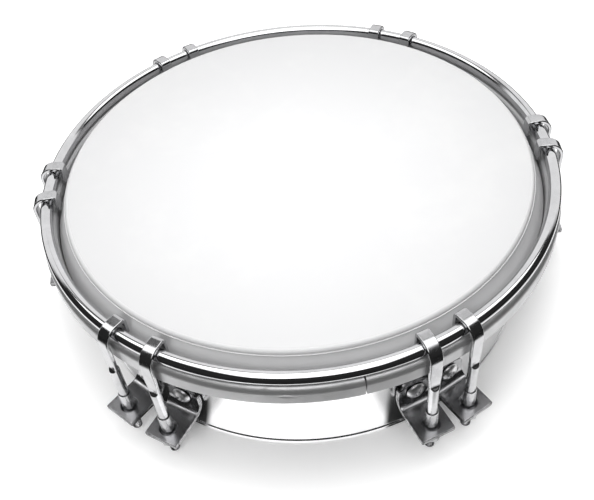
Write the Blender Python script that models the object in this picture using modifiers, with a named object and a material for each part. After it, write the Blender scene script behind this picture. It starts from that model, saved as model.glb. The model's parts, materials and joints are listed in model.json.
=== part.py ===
"""Tamborim: a small frame drum whose plastic head is pulled tight by twelve hook tensioners.

The drum stands on the open lower rim of its shell, with the head on top.
Units are metres and +Z is up. The origin is on the drum's axis, level with the lower rim.
An azimuth is an angle in degrees about +Z, counted anticlockwise from above, and 0 is at -Y.
Each tensioner is modelled at azimuth 0, where outwards is -Y, and an empty turns it into place.
"""
import math

import bmesh
import bpy
from mathutils import Matrix, Vector

MM = 0.001
GAP = 0.3 * MM               # left between two pieces that touch
RING_STEPS = 60              # flat facets round each ring

# Shell: a ring of aluminium sheet, open at both ends, with a bead rolled into its lower rim
SHELL_RADIUS = 75.6 * MM     # outer face of the wall
SHELL_HEIGHT = 47.9 * MM     # from the lower rim to the bearing edge under the head
SHELL_WALL = 1.2 * MM
BEARING_EDGE_RADIUS = 0.6 * MM
BEAD_PROUD = 0.45 * MM       # how far the bead stands out from the wall
BEAD_HEIGHT = 1.6 * MM

# Head: one moulded film, flat on top, whose collar leans out and down into the flesh hoop
FILM_THICKNESS = 0.3 * MM
FILM_ROLL_RADIUS = 1.3 * MM  # outer radius of the bend over the bearing edge
FILM_PLAY = 0.15 * MM        # extra room between the collar and the wall
COLLAR_LEAN = 27.3           # degrees from upright

# Flesh hoop: an aluminium channel that grips the edge of the collar
COLLAR_DEPTH = 4.2 * MM      # from the bearing edge down to the top of the flesh hoop
HOOP_HEIGHT = 6.6 * MM
HOOP_STEP = 3.7 * MM         # from the top of the hoop down to the top of its inner wall
HOOP_FLOOR = 1.1 * MM
HOOP_INNER_WALL = 0.8 * MM
HOOP_GROOVE_PLAY = 0.35 * MM
HOOP_OUTSET = 2.6 * MM       # from the centre of the counter hoop's rod to the outer face
HOOP_CORNER = 1.3 * MM       # rounding of the outer upper corner

# Counter hoop: a round rod bent into a ring and welded
ROD_DIAMETER = 4.0 * MM
ROD_PLAY = 0.7 * MM          # between the rod and the hooks' inner lips

# Hooks: wire flattened into a strap that claws over the rod, with a round threaded stud below
STRAP_WIDTH = 4.0 * MM
STRAP_THICKNESS = 1.2 * MM
STRAP_CORNER = 0.35 * MM
LIP_REACH = 2.5 * MM         # how far the inner lip hangs below the rod's centre
LIP_CLEARANCE = 0.44 * MM    # between the lip and the collar
LEG_CLEARANCE = 1.0 * MM     # between the leg and the flesh hoop
LIP_BEND_RADIUS = 0.9 * MM   # both bends are measured on the strap's middle
LEG_BEND_RADIUS = 4.6 * MM
STRAP_LENGTH = 16.2 * MM     # from the top of the claw down to the shoulder on the stud
TAPER_LENGTH = 4.8 * MM      # the stretch above the shoulder where the strap narrows
SHOULDER_WIDTH = 3.3 * MM
SHOULDER_HEIGHT = 0.7 * MM
STUD_DIAMETER = 3.15 * MM
STUD_TAIL = 6.7 * MM         # how far the stud stands out below the nut
STUD_CHAMFER = 0.4 * MM

# Brackets: steel angles riveted to the shell, with a hole for the nut's sleeve
BRACKET_WIDTH = 11.2 * MM
BRACKET_SHEET = 1.6 * MM
BRACKET_BEND_RADIUS = 2.5 * MM
LEAF_HEIGHT = 13.3 * MM      # top face of the level leaf above the floor
LEAF_MARGIN = 4.5 * MM       # from the stud's axis to the leaf's outer edge
UPRIGHT_HEIGHT = 8.4 * MM    # from the top face of the leaf to the top of the upright leaf
UPRIGHT_CORNER = 3.4 * MM
LEAF_CORNER = 0.4 * MM

# Tuning nuts: a hexagon below the leaf and a sleeve that stands up through it
THREAD_PLAY = 0.1 * MM       # room round the stud, on the radius
SLEEVE_WALL = 0.28 * MM
SLEEVE_LENGTH = 8.8 * MM     # above the hexagon
SLEEVE_PLAY = 0.725 * MM     # room round the sleeve in the leaf, on the radius
NUT_BEARING = 0.62 * MM      # how far the hexagon's flats reach past the hole
HEX_HEIGHT = 3.2 * MM

# Rivets: one through each bracket and the wall behind it
RIVET_RADIUS = 1.6 * MM
RIVET_PLAY = 0.35 * MM
RIVET_HEAD_RADIUS = 3.0 * MM
RIVET_HEAD_HEIGHT = 1.5 * MM
RIVET_HEIGHT = 5.1 * MM      # above the top face of the leaf
RIVET_FOOT_RADIUS = 2.6 * MM
RIVET_FOOT_HEIGHT = 1.0 * MM

# Tensioner pairs: the azimuth midway between the two, and the gap between their brackets
TENSIONER_PAIRS = {
    "front_right": (25.8, 0.68 * MM),
    "right": (91.65, 0.35 * MM),
    "back_right": (149.1, 1.0 * MM),
    "back_left": (210.85, 0.6 * MM),
    "left": (268.3, 2.3 * MM),
    "front_left": (322.85, 2.5 * MM),
}

# Heights that follow from the values above
FILM_TOP = SHELL_HEIGHT + GAP + FILM_THICKNESS
ROLL_END = FILM_TOP - FILM_ROLL_RADIUS
HOOP_TOP = SHELL_HEIGHT - COLLAR_DEPTH
HOOP_BOTTOM = HOOP_TOP - HOOP_HEIGHT
ROD_HEIGHT = HOOP_TOP + GAP + ROD_DIAMETER / 2
LIP_BOTTOM = ROD_HEIGHT - LIP_REACH
CLAW_MIDDLE = ROD_HEIGHT + ROD_DIAMETER / 2 + GAP + STRAP_THICKNESS / 2
SHOULDER = CLAW_MIDDLE + STRAP_THICKNESS / 2 - STRAP_LENGTH
HEX_TOP = LEAF_HEIGHT - BRACKET_SHEET - GAP
HEX_BOTTOM = HEX_TOP - HEX_HEIGHT
STUD_END = HEX_BOTTOM - STUD_TAIL

# Radii that follow from the values above, from the shell outwards
COLLAR_RADIUS = SHELL_RADIUS + GAP + FILM_THICKNESS + FILM_PLAY
COLLAR_SLOPE = math.tan(math.radians(COLLAR_LEAN))
LIP_MIDDLE = COLLAR_RADIUS + (ROLL_END - LIP_BOTTOM) * COLLAR_SLOPE + LIP_CLEARANCE + STRAP_THICKNESS / 2
ROD_RADIUS = LIP_MIDDLE + STRAP_THICKNESS / 2 + ROD_PLAY + ROD_DIAMETER / 2
HOOP_RADIUS = ROD_RADIUS + HOOP_OUTSET
STUD_RADIUS = HOOP_RADIUS + LEG_CLEARANCE + STRAP_THICKNESS / 2
BRACKET_BACK = SHELL_RADIUS + GAP
BRACKET_FACE = BRACKET_BACK + BRACKET_SHEET
LEAF_END = STUD_RADIUS + LEAF_MARGIN
BORE_RADIUS = STUD_DIAMETER / 2 + THREAD_PLAY
SLEEVE_RADIUS = BORE_RADIUS + SLEEVE_WALL
LEAF_HOLE_RADIUS = SLEEVE_RADIUS + SLEEVE_PLAY
RIVET_HOLE_RADIUS = RIVET_RADIUS + RIVET_PLAY


def new_collection(name):
    collection = bpy.data.collections.new(name)
    bpy.context.scene.collection.children.link(collection)
    return collection


def clear_scene():
    for obj in list(bpy.data.objects):
        bpy.data.objects.remove(obj, do_unlink=True)
    return new_collection("tamborim"), new_collection("cutters")


PARTS, CUTTERS = clear_scene()


def new_material(name, colour, metallic, roughness):
    material = bpy.data.materials.new(name)
    material.use_nodes = True
    shader = material.node_tree.nodes["Principled BSDF"]
    shader.inputs["Base Color"].default_value = (*colour, 1.0)
    shader.inputs["Metallic"].default_value = metallic
    shader.inputs["Roughness"].default_value = roughness
    return material


def add_object(name, mesh, material=None, collection=PARTS):
    obj = bpy.data.objects.new(name, mesh)
    collection.objects.link(obj)
    if material:
        mesh.materials.clear()
        mesh.materials.append(material)
    return obj


def mesh_from(bm, name):
    mesh = bpy.data.meshes.new(name)
    bm.to_mesh(mesh)
    bm.free()
    return mesh


def arc(centre, radius, start, end, steps):
    """Points (radius, height) on an arc, between two angles in degrees from the outward direction."""
    angles = [math.radians(start + (end - start) * i / steps) for i in range(steps + 1)]
    return [(centre[0] + radius * math.cos(a), centre[1] + radius * math.sin(a)) for a in angles]


def turned(name, profile, closed, steps, material=None):
    """An object turned about +Z, whose profile (radius, height) runs down its outer side."""
    bm = bmesh.new()
    verts = [bm.verts.new((r, 0.0, z)) for r, z in profile]
    ends = verts[1:] + verts[:1] if closed else verts[1:]
    for first, second in zip(verts, ends):
        bm.edges.new((first, second))
    obj = add_object(name, mesh_from(bm, name), material)
    screw = obj.modifiers.new("turn", "SCREW")
    screw.steps = steps
    screw.render_steps = steps
    screw.use_merge_vertices = True
    screw.merge_threshold = 0.00001
    return obj


def loft(name, rings, material):
    """A closed solid through rings of equally many points, with a flat face at each end."""
    bm = bmesh.new()
    loops = [[bm.verts.new(point) for point in ring] for ring in rings]
    for near, far in zip(loops, loops[1:]):
        for i, vert in enumerate(near):
            j = (i + 1) % len(near)
            bm.faces.new((vert, near[j], far[j], far[i]))
    bm.faces.new(loops[0])
    bm.faces.new(loops[-1])
    bmesh.ops.recalc_face_normals(bm, faces=bm.faces)
    return add_object(name, mesh_from(bm, name), material)


def cylinder(name, radius, start, end, sides, collection=CUTTERS):
    """A cylinder, or a prism with few sides, from one point to another."""
    axis = Vector(end) - Vector(start)
    place = Matrix.Translation((Vector(start) + Vector(end)) / 2)
    turn = axis.to_track_quat("Z", "X").to_matrix().to_4x4()
    bm = bmesh.new()
    bmesh.ops.create_cone(bm, cap_ends=True, segments=sides, radius1=radius, radius2=radius,
                          depth=axis.length, matrix=place @ turn)
    obj = add_object(name, mesh_from(bm, name), collection=collection)
    if collection is CUTTERS:
        obj.hide_render = True
        obj.display_type = "WIRE"
    return obj


def boolean(obj, operand, operation):
    modifier = obj.modifiers.new(operation.lower(), "BOOLEAN")
    modifier.object = operand
    modifier.operation = operation
    modifier.solver = "EXACT"


def smooth(mesh, angle=35):
    mesh.shade_smooth()
    mesh.set_sharp_from_angle(angle=math.radians(angle))


def freeze(obj, *spent):
    """The finished mesh of a pattern piece, which is removed along with the tools it has used."""
    bpy.context.view_layer.update()
    mesh = bpy.data.meshes.new_from_object(obj.evaluated_get(bpy.context.evaluated_depsgraph_get()))
    mesh.name = obj.name
    for done in (obj, *spent):
        bpy.data.objects.remove(done, do_unlink=True)
    smooth(mesh)
    return mesh


def tensioner_places():
    """Name and azimuth of each tensioner: the two of a pair stand the pair's gap apart."""
    half_diagonal = math.hypot(BRACKET_BACK, BRACKET_WIDTH / 2)
    half_bracket = math.atan2(BRACKET_WIDTH / 2, BRACKET_BACK)
    places = {}
    for pair, (middle, gap) in TENSIONER_PAIRS.items():
        half_angle = math.degrees(half_bracket + math.asin(gap / 2 / half_diagonal))
        places[f"{pair}_1"] = middle - half_angle
        places[f"{pair}_2"] = middle + half_angle
    return places


# Shell, with a hole for each rivet
def make_shell(places):
    inner = SHELL_RADIUS - SHELL_WALL
    edge = BEARING_EDGE_RADIUS
    bead = SHELL_RADIUS + BEAD_PROUD
    profile = [
        (inner, SHELL_HEIGHT),
        *arc((SHELL_RADIUS - edge, SHELL_HEIGHT - edge), edge, 90, 0, 3),
        (SHELL_RADIUS, BEAD_HEIGHT),
        (bead, BEAD_HEIGHT - BEAD_PROUD),
        (bead, BEAD_PROUD),
        (SHELL_RADIUS, 0.0),
        (inner, 0.0),
    ]
    metal = new_material("polished_aluminium_shell", (0.86, 0.86, 0.87), 1.0, 0.16)
    shell = turned("shell", profile, True, RING_STEPS, metal)
    for name, azimuth in places.items():
        outwards = Vector((math.sin(math.radians(azimuth)), -math.cos(math.radians(azimuth)), 0.0))
        level = Vector((0.0, 0.0, LEAF_HEIGHT + RIVET_HEIGHT))
        start = level + outwards * (inner - SHELL_WALL)
        end = level + outwards * (SHELL_RADIUS + SHELL_WALL)
        boolean(shell, cylinder(f"hole_{name}", RIVET_HOLE_RADIUS, start, end, 12), "DIFFERENCE")


# Head, whose edge hangs in the flesh hoop's groove
def groove_middle():
    """Radius of the groove: where the leaning collar meets the top of the hoop's inner wall."""
    entry = HOOP_TOP - HOOP_STEP + GAP
    return COLLAR_RADIUS + (ROLL_END - entry) * COLLAR_SLOPE - FILM_THICKNESS / 2, entry


def make_head():
    middle, entry = groove_middle()
    outer = middle + FILM_THICKNESS / 2
    roll_centre = (COLLAR_RADIUS - FILM_ROLL_RADIUS, ROLL_END)
    profile = [
        (0.0, FILM_TOP),
        *arc(roll_centre, FILM_ROLL_RADIUS, 90, 0, 4),
        (outer, entry),
        (outer, HOOP_BOTTOM + HOOP_FLOOR + GAP),
    ]
    film = new_material("white_film", (0.9, 0.9, 0.9), 0.0, 0.35)
    head = turned("drumhead_film", profile, False, RING_STEPS, film)
    wall = head.modifiers.new("wall", "SOLIDIFY")
    wall.thickness = FILM_THICKNESS
    wall.offset = -1
    wall.use_even_offset = True


def make_flesh_hoop():
    middle, _ = groove_middle()
    groove_inner = middle - FILM_THICKNESS / 2 - HOOP_GROOVE_PLAY
    groove_outer = middle + FILM_THICKNESS / 2 + HOOP_GROOVE_PLAY
    inner_wall_top = HOOP_TOP - HOOP_STEP
    floor = HOOP_BOTTOM + HOOP_FLOOR
    chamfer = HOOP_GROOVE_PLAY
    profile = [
        (groove_outer + 2 * chamfer, HOOP_TOP),
        *arc((HOOP_RADIUS - HOOP_CORNER, HOOP_TOP - HOOP_CORNER), HOOP_CORNER, 90, 0, 3),
        (HOOP_RADIUS, HOOP_BOTTOM + 2 * chamfer),
        (HOOP_RADIUS - chamfer, HOOP_BOTTOM),
        (groove_inner - HOOP_INNER_WALL, HOOP_BOTTOM),
        (groove_inner - HOOP_INNER_WALL, inner_wall_top),
        (groove_inner, inner_wall_top),
        (groove_inner, floor),
        (groove_outer, floor),
        (groove_outer, HOOP_TOP - 2 * chamfer),
    ]
    metal = new_material("bright_aluminium_hoop", (0.86, 0.86, 0.87), 1.0, 0.22)
    turned("flesh_hoop", profile, True, RING_STEPS, metal)


def make_counter_hoop():
    bpy.ops.mesh.primitive_torus_add(
        location=(0.0, 0.0, ROD_HEIGHT), major_radius=ROD_RADIUS, minor_radius=ROD_DIAMETER / 2,
        major_segments=RING_STEPS, minor_segments=12)
    hoop = bpy.context.object
    hoop.name = "counter_hoop"
    for collection in list(hoop.users_collection):
        collection.objects.unlink(hoop)
    PARTS.objects.link(hoop)
    hoop.data.materials.append(new_material("chromed_rod", (0.82, 0.82, 0.83), 1.0, 0.08))
    smooth(hoop.data)


# Hook, lofted from the flat lip round the claw and down into the round stud
def section(radius, height, heading, half_width, half_thickness, corner):
    """A ring of twelve points square to the hook's path: a rectangle with round corners.

    Half a side for the corner makes it a circle. The heading is the path's direction in degrees
    from outwards, and the radius is measured from the stud's axis.
    """
    heading = math.radians(heading)
    ring = []
    for side, up, start in ((1, 1, 0), (-1, 1, 90), (-1, -1, 180), (1, -1, 270)):
        for step in (15, 45, 75):
            angle = math.radians(start + step)
            across = side * (half_width - corner) + corner * math.cos(angle)
            off = up * (half_thickness - corner) + corner * math.sin(angle)
            ring.append((across, -(radius - off * math.sin(heading)), height + off * math.cos(heading)))
    return ring


def bend(centre, radius, start, end, steps):
    """Places (radius, height, heading) along a bend that turns clockwise."""
    points = arc(centre, radius, start, end, steps)
    return [(r, z, start + (end - start) * i / steps - 90) for i, (r, z) in enumerate(points)]


def hook_mesh():
    lip = LIP_MIDDLE - STUD_RADIUS
    strap = (STRAP_WIDTH / 2, STRAP_THICKNESS / 2, STRAP_CORNER)
    stud = (STUD_DIAMETER / 2, STUD_DIAMETER / 2, STUD_DIAMETER / 2)
    tip = tuple(half - STUD_CHAMFER for half in stud)
    lip_bend = (lip + LIP_BEND_RADIUS, CLAW_MIDDLE - LIP_BEND_RADIUS)
    leg_bend = (-LEG_BEND_RADIUS, CLAW_MIDDLE - LEG_BEND_RADIUS)
    rings = [section(lip, LIP_BOTTOM, 90, *strap)]
    for place in bend(lip_bend, LIP_BEND_RADIUS, 180, 90, 3) + bend(leg_bend, LEG_BEND_RADIUS, 90, 0, 4):
        rings.append(section(*place, *strap))
    rings.append(section(0.0, SHOULDER + TAPER_LENGTH, -90, *strap))
    rings.append(section(0.0, SHOULDER, -90, SHOULDER_WIDTH / 2, STRAP_THICKNESS / 2, STRAP_CORNER))
    rings.append(section(0.0, SHOULDER - SHOULDER_HEIGHT, -90, *stud))
    rings.append(section(0.0, STUD_END + STUD_CHAMFER, -90, *stud))
    rings.append(section(0.0, STUD_END, -90, *tip))
    return freeze(loft("hook", rings, new_material("chromed_hook", (0.82, 0.82, 0.83), 1.0, 0.08)))


# Bracket, folded from sheet and drilled
def bracket_mesh():
    """The sheet's visible face is an open surface; its thickness goes down and towards the shell."""
    bend_centre = (BRACKET_FACE + BRACKET_BEND_RADIUS, LEAF_HEIGHT + BRACKET_BEND_RADIUS)
    path = [
        (BRACKET_FACE, LEAF_HEIGHT + UPRIGHT_HEIGHT),
        *arc(bend_centre, BRACKET_BEND_RADIUS, 180, 270, 4),
        (LEAF_END, LEAF_HEIGHT),
    ]
    bm = bmesh.new()
    left = [bm.verts.new((-BRACKET_WIDTH / 2, -r, z)) for r, z in path]
    right = [bm.verts.new((BRACKET_WIDTH / 2, -r, z)) for r, z in path]
    for i in range(len(path) - 1):
        bm.faces.new((left[i], left[i + 1], right[i + 1], right[i]))
    bmesh.ops.bevel(bm, geom=[left[0], right[0]], offset=UPRIGHT_CORNER, segments=4,
                    profile=0.5, affect="VERTICES")
    bmesh.ops.bevel(bm, geom=[left[-1], right[-1]], offset=LEAF_CORNER, segments=1,
                    profile=0.5, affect="VERTICES")
    metal = new_material("chromed_bracket", (0.8, 0.8, 0.81), 1.0, 0.12)
    bracket = add_object("bracket", mesh_from(bm, "bracket"), metal)
    sheet = bracket.modifiers.new("sheet", "SOLIDIFY")
    sheet.thickness = BRACKET_SHEET
    sheet.offset = -1
    sheet.use_even_offset = True
    nut_hole = cylinder("nut_hole", LEAF_HOLE_RADIUS, (0.0, -STUD_RADIUS, LEAF_HEIGHT + BRACKET_SHEET),
                        (0.0, -STUD_RADIUS, LEAF_HEIGHT - 2 * BRACKET_SHEET), 16)
    rivet_level = LEAF_HEIGHT + RIVET_HEIGHT
    rivet_hole = cylinder("rivet_hole", RIVET_HOLE_RADIUS,
                          (0.0, -BRACKET_BACK + BRACKET_SHEET, rivet_level),
                          (0.0, -BRACKET_FACE - BRACKET_SHEET, rivet_level), 12)
    boolean(bracket, nut_hole, "DIFFERENCE")
    boolean(bracket, rivet_hole, "DIFFERENCE")
    return freeze(bracket, nut_hole, rivet_hole)


def nut_mesh():
    """The nut about its own axis: a hexagon joined to a sleeve and bored through."""
    across_corners = (LEAF_HOLE_RADIUS + NUT_BEARING) / math.cos(math.pi / 6)
    sleeve_top = HEX_TOP + SLEEVE_LENGTH
    nut = cylinder("nut", across_corners, (0.0, 0.0, HEX_BOTTOM), (0.0, 0.0, HEX_TOP), 6, PARTS)
    nut.data.materials.append(new_material("chromed_nut", (0.82, 0.82, 0.83), 1.0, 0.1))
    sleeve = cylinder("sleeve", SLEEVE_RADIUS, (0.0, 0.0, HEX_BOTTOM + HEX_HEIGHT / 2),
                      (0.0, 0.0, sleeve_top), 16)
    bore = cylinder("bore", BORE_RADIUS, (0.0, 0.0, HEX_BOTTOM - HEX_HEIGHT),
                    (0.0, 0.0, sleeve_top + HEX_HEIGHT), 16)
    boolean(nut, sleeve, "UNION")
    boolean(nut, bore, "DIFFERENCE")
    return freeze(nut, sleeve, bore)


def rivet_mesh():
    """The rivet about +Z, which the tensioner turns outwards; height 0 is the bracket's face."""
    wall_facet = (SHELL_RADIUS - SHELL_WALL) * math.cos(math.pi / RING_STEPS)
    foot_top = wall_facet - GAP - BRACKET_FACE
    dome = [(RIVET_HEAD_RADIUS * math.sin(a), GAP + RIVET_HEAD_HEIGHT * math.cos(a))
            for a in (math.radians(angle) for angle in (0, 45, 90))]
    profile = [
        *dome,
        (RIVET_RADIUS, GAP),
        (RIVET_RADIUS, foot_top),
        (RIVET_FOOT_RADIUS, foot_top),
        (RIVET_FOOT_RADIUS, foot_top - RIVET_FOOT_HEIGHT),
        (0.0, foot_top - RIVET_FOOT_HEIGHT),
    ]
    metal = new_material("aluminium_rivet", (0.84, 0.84, 0.85), 1.0, 0.25)
    return freeze(turned("rivet", profile, False, 12, metal))


# Twelve tensioners, each made of a hook, a nut, a bracket and a rivet
def make_tensioners(places):
    meshes = {"hook": hook_mesh(), "nut": nut_mesh(), "bracket": bracket_mesh(), "rivet": rivet_mesh()}
    seats = {
        "hook": Matrix.Translation((0.0, -STUD_RADIUS, 0.0)),
        "nut": Matrix.Translation((0.0, -STUD_RADIUS, 0.0)),
        "bracket": Matrix.Identity(4),
        "rivet": Matrix.Translation((0.0, -BRACKET_FACE, LEAF_HEIGHT + RIVET_HEIGHT))
        @ Matrix.Rotation(math.radians(90), 4, "X"),
    }
    for name, azimuth in places.items():
        tensioner = bpy.data.objects.new(f"tensioner_{name}", None)
        tensioner.rotation_euler.z = math.radians(azimuth)
        PARTS.objects.link(tensioner)
        for piece, mesh in meshes.items():
            obj = add_object(f"{piece}_{name}", mesh)
            obj.parent = tensioner
            obj.matrix_local = seats[piece]


def main():
    places = tensioner_places()
    make_shell(places)
    make_head()
    make_flesh_hoop()
    make_counter_hoop()
    make_tensioners(places)
    bpy.context.view_layer.update()


main()
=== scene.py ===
# %% [markdown]
# # A tamborim, finished
# A tamborim is a small frame drum: a ring of aluminium sheet, a white plastic head, two hoops that
# hold the head, and twelve hooks that pull it tight. The construction model is loaded first and stays
# the reference for every size and place. This script could carry that model over and only paint it,
# but its rings have flat facets, which a mirror finish would show. So each piece is made again here as
# a fine surface in the same place, and then it gets its metal or its film.

import json
from functools import partial

import bmesh
import bpy
import numpy as np
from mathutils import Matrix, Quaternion, Vector

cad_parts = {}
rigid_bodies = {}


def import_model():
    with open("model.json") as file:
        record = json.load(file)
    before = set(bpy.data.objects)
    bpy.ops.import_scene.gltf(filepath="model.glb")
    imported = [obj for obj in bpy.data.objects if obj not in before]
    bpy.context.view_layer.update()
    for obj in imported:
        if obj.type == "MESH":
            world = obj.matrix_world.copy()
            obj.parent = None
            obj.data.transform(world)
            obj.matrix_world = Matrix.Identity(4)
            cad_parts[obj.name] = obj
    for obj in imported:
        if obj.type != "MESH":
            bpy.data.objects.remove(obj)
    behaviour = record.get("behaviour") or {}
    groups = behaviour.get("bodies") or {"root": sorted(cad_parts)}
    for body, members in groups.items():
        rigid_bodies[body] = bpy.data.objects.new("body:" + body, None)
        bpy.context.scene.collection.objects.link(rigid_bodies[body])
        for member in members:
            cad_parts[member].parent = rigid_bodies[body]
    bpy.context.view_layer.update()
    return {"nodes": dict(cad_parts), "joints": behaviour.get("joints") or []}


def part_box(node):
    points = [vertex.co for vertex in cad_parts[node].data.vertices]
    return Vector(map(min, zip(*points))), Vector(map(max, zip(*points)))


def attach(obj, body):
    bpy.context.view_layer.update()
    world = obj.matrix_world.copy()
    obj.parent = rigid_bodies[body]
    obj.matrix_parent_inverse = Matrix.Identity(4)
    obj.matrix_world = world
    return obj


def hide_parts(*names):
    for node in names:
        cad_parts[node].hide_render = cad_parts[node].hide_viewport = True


for leftover in list(bpy.data.objects):
    bpy.data.objects.remove(leftover, do_unlink=True)
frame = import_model()
MM = 0.001

# %% [markdown]
# ## Sizes
# What the construction model can tell is read from its boxes and joints, so that the fine pieces
# follow it if it changes: the radius and height of each ring, the height of each fitting, and where
# the twelve studs stand. Only what a box can't show, such as a wall or a rounding, is named here.

# %% Radii and heights of the rings
shell_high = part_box("shell")[1]
film_low, film_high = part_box("drumhead_film")
hoop_low, hoop_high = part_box("flesh_hoop")
rod_low, rod_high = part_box("counter_hoop")

BEAD_PROUD = 0.45 * MM
SHELL_RADIUS = shell_high.x - BEAD_PROUD
SHELL_HEIGHT = shell_high.z
SHELL_WALL = 1.2 * MM
FILM_TOP = film_high.z
FILM_THICKNESS = 0.3 * MM
HOOP_RADIUS = hoop_high.x
ROD_THICKNESS = rod_high.z - rod_low.z
ROD_RADIUS = rod_high.x - ROD_THICKNESS / 2
ROD_HEIGHT = (rod_high.z + rod_low.z) / 2
print(f"shell {2000 * SHELL_RADIUS:.1f} x {1000 * SHELL_HEIGHT:.1f} mm, rod {1000 * ROD_THICKNESS:.1f} mm")

# %% Where the twelve tensioners stand
STUD_PLACES = {}
for joint in frame["joints"]:
    if joint["type"] == "hinge":
        STUD_PLACES[joint["name"].removeprefix("nut_turn_")] = joint["pos_m"]
AZIMUTHS = {name: float(np.arctan2(x, -y)) for name, (x, y, _) in STUD_PLACES.items()}
STUD_RADIUS = float(np.mean([np.hypot(x, y) for x, y, _ in STUD_PLACES.values()]))
print({name: round(float(np.degrees(a)), 1) for name, a in AZIMUTHS.items()})

# %% Heights of the fittings
first = next(iter(AZIMUTHS))
hook_low, hook_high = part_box(f"hook_{first}")
nut_low, nut_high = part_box(f"nut_{first}")
bracket_low, bracket_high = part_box(f"bracket_{first}")
rivet_low, rivet_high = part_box(f"rivet_{first}")
RIVET_LEVEL = (rivet_low.z + rivet_high.z) / 2
RIVET_HEAD_RADIUS = (rivet_high.z - rivet_low.z) / 2
print(f"hooks {1000 * hook_low.z:.1f} to {1000 * hook_high.z:.1f} mm, rivets at {1000 * RIVET_LEVEL:.1f} mm")

# %% [markdown]
# ## Camera
# The photograph was taken close up, from in front and above, with the camera tipped a little to one
# side. A camera can be turned by three Euler angles, but they say little to a reader. A place, a point
# to look at and a roll say what a photographer did, so those are the values here.

# %% Things in the scene
def in_scene(name, data):
    """An object that holds the data, linked into the scene."""
    made = bpy.data.objects.new(name, data)
    bpy.context.scene.collection.objects.link(made)
    return made


def aim(thing, place, target, roll=0.0):
    """Stands a camera or a light at a place, turned to a target and rolled by some degrees."""
    thing.location = place
    thing.rotation_mode = "QUATERNION"
    level_view = (target - place).to_track_quat("-Z", "Y")
    thing.rotation_quaternion = level_view @ Quaternion((0.0, 0.0, 1.0), np.radians(roll))


print("helpers: in_scene, aim")

# %% Camera
PHOTO_SIZE = (594, 500)
CAMERA_PLACE = Vector((0.0, -200.14, 221.09)) * MM
LOOK_AT = Vector((-2.27, -39.54, 48.5)) * MM
CAMERA_ROLL = -6.41
camera_data = bpy.data.cameras.new("camera")
camera_data.lens = 48.37
camera_data.sensor_width = 36.0
camera_data.clip_start = 0.01
camera = in_scene("camera", camera_data)
aim(camera, CAMERA_PLACE, LOOK_AT, CAMERA_ROLL)
bpy.context.scene.camera = camera
distance = (LOOK_AT - CAMERA_PLACE).length
print(f"camera {1000 * distance:.0f} mm from the head, for a picture of {PHOTO_SIZE}")

# %% [markdown]
# ## Node helpers
# Materials, the floor and the sky are all node trees. A tree can be built line by line, but then one
# node takes four lines. The first helpers make a node, set it and wire it in one call, so that a
# material reads as a recipe. The others are the few nodes that come up again and again.

# %% One node in one call
def wire(tree, target, inputs):
    """Gives a node's inputs, by name or number, constants or other nodes' outputs."""
    for key, value in inputs.items():
        if isinstance(value, bpy.types.NodeSocket):
            tree.links.new(value, target.inputs[key])
        else:
            target.inputs[key].default_value = value


def node(tree, kind, inputs=None, **settings):
    """A new node of a kind, with its settings by name and its inputs wired."""
    made = tree.nodes.new(kind)
    for name, value in settings.items():
        setattr(made, name, value)
    wire(tree, made, inputs or {})
    return made


def new_material(name):
    """A material, its node tree and its shader."""
    material = bpy.data.materials.new(name)
    material.use_nodes = True
    return material, material.node_tree, material.node_tree.nodes["Principled BSDF"]


print("helpers: wire, node, new_material")

# %% Nodes that come up again
def calculate(tree, operation, *values):
    """One sum of one, two or three values."""
    return node(tree, "ShaderNodeMath", dict(enumerate(values)), operation=operation).outputs[0]


def product(tree, first, *others):
    """The values multiplied together."""
    for other in others:
        first = calculate(tree, "MULTIPLY", first, other)
    return first


def between(tree, value, ends, start=0.0, end=1.0):
    """A value carried from one pair of ends to another, and held at the ends."""
    limits = {"From Min": ends[0], "From Max": ends[1], "To Min": start, "To Max": end}
    return node(tree, "ShaderNodeMapRange", {"Value": value, **limits}).outputs["Result"]


def ramp(tree, value, low, high):
    """A ramp from one grey or colour to another, over a value from 0 to 1."""
    made = node(tree, "ShaderNodeValToRGB", {"Fac": value})
    for stop, colour in zip(made.color_ramp.elements, (low, high)):
        stop.color = (colour, colour, colour, 1.0) if np.isscalar(colour) else (*colour, 1.0)
    return made.outputs["Color"]


def noise(tree, vector, scale, detail, roughness=0.5, distortion=0.0):
    """Smooth noise around 0.5, made finer by its octaves of detail."""
    return node(tree, "ShaderNodeTexNoise", {
        "Vector": vector, "Scale": scale, "Detail": detail, "Roughness": roughness,
        "Distortion": distortion}).outputs["Fac"]


print("helpers: calculate, product, between, ramp, noise")

# %% [markdown]
# ## Sky
# The drum stands on a plain pale floor in soft studio light. Chrome shows nothing but its
# surroundings, so those decide how it looks, and the photographed bands say what they were: a long
# white ceiling panel in a dark room, and a grey sheet hung behind the drum with a dark thing before
# it. An image of a studio would do the same, but a few ramps can be read and moved. The panel is laid
# out on a ceiling one unit up, where a direction meets it at x / z and y / z, and each pair of numbers
# is where an edge of it starts and ends. Mirrored rays get the sky brighter than rough ones, and the
# camera sees plain white behind the floor.

# %% Numbers of the sky
PANEL_SIDE = (0.46, 0.62)
PANEL_WIDENS, PANEL_WIDENS_OVER = 0.5, (-0.25, 0.25)
PANEL_FRONT = (-1.12, -1.02)
PANEL_BACK = (0.50, 0.58)
LOWEST_UP = 0.001
ROOM_LIGHT = 0.012
SHEET_LIGHT = 0.46
SHEET_FROM = (0.28, 0.42)
SHEET_TOP = (0.64, 0.72)
DARK_DIRECTION = (-0.239, 0.537, 0.809)
DARK_SPREAD = (0.978, 0.9925)
DARK_LEAVES = 0.12
SKY_LIGHT, SKY_SHEEN = 1.40, 2.4
print(f"mirrored rays get the sky {SKY_SHEEN / SKY_LIGHT:.1f} times as bright as rough ones")

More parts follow.
